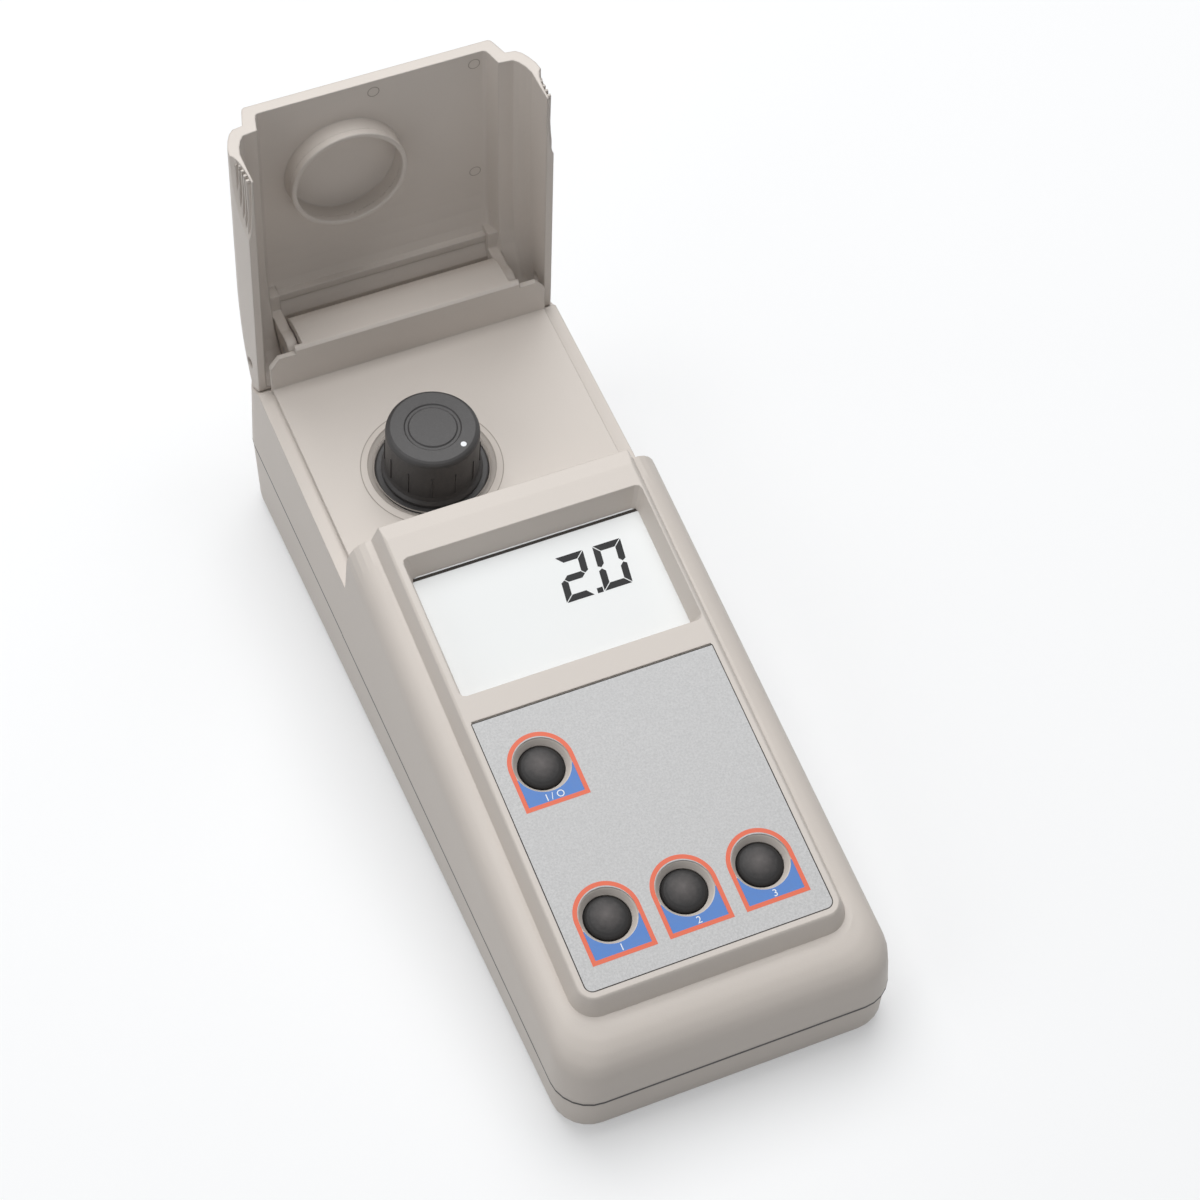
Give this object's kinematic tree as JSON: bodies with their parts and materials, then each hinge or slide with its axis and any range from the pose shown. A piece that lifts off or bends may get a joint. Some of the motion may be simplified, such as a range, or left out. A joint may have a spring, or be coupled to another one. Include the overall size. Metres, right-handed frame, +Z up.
{
  "type": "benchtop colorimeter",
  "caption": "Wedge-shaped benchtop colorimeter with a display, domed keys, a capped sample vial in its well and a hinged cover that keeps light off it.",
  "frame": {"origin": "on the surface it stands on, under the middle of the whole part with its cover open", "axes": "X to the right as the user sees it, Y from the keys to the hinge, Z up"},
  "size_m": [0.085, 0.2301, 0.124],
  "materials": {
    "case": "fine textured warm grey moulding",
    "overlay": "satin printed film",
    "key": "smooth dark rubber",
    "black_plastic": "moulded black plastic",
    "cap": "satin black cap",
    "lens": "clear flat window",
    "display": "pale reflective display",
    "board": "green circuit board",
    "steel": "plain steel",
    "vial_glass": "clear glass",
    "filter_glass": "coloured glass",
    "lamp": "clear epoxy lamp",
    "battery": "painted steel jacket",
    "wire": "insulated wire",
    "feet": "black rubber"
  },
  "bodies": {
    "base": {"lower_shell": "case", "upper_shell": "case", "hinge_pins": "steel", "keypad_overlay": "overlay", "key_switches": "black_plastic", "lcd_lens": "lens", "lcd_panel": "display", "lcd_bezel": "black_plastic", "main_board": "board", "board_screws": "steel", "cell_holder": "black_plastic", "holder_screws": "steel", "lamp": "lamp", "lamp_board": "board", "light_filter": "filter_glass", "photocell": "steel", "sensor_board": "board", "battery": "battery", "battery_snap": "black_plastic", "battery_leads": "wire", "dc_jack": "black_plastic", "case_screws": "steel", "rubber_feet": "feet"},
    "cover": {"lid": "case"},
    "power_key": {"power_button": "key"},
    "left_key": {"left_button": "key"},
    "middle_key": {"middle_button": "key"},
    "right_key": {"right_button": "key"},
    "vial": {"cuvette": "vial_glass", "cuvette_cap": "cap"},
    "door": {"battery_door": "case"}
  },
  "joints": [
    {"name": "cover_hinge", "type": "hinge", "parent": "base", "child": "cover", "pos_m": [0, 0.09735, 0.0531], "axis": [-1, 0, 0], "range_deg": [-93, 0]},
    {"name": "power_key_press", "type": "slide", "parent": "base", "child": "power_key", "axis": [0, 0.2139, -0.9768], "range_m": [0, 0.0008], "stiffness_N_per_m": 600, "springref_m": -0.0006},
    {"name": "left_key_press", "type": "slide", "parent": "base", "child": "left_key", "axis": [0, 0.2139, -0.9768], "range_m": [0, 0.0008], "stiffness_N_per_m": 600, "springref_m": -0.0006},
    {"name": "middle_key_press", "type": "slide", "parent": "base", "child": "middle_key", "axis": [0, 0.2139, -0.9768], "range_m": [0, 0.0008], "stiffness_N_per_m": 600, "springref_m": -0.0006},
    {"name": "right_key_press", "type": "slide", "parent": "base", "child": "right_key", "axis": [0, 0.2139, -0.9768], "range_m": [0, 0.0008], "stiffness_N_per_m": 600, "springref_m": -0.0006},
    {"name": "vial_lift", "type": "slide", "parent": "base", "child": "vial", "axis": [0, -0.1064, 0.9943], "range_m": [0, 0.03]},
    {"name": "door_slide", "type": "slide", "parent": "base", "child": "door", "axis": [0, 1, 0], "range_m": [0, 0.006]}
  ]
}
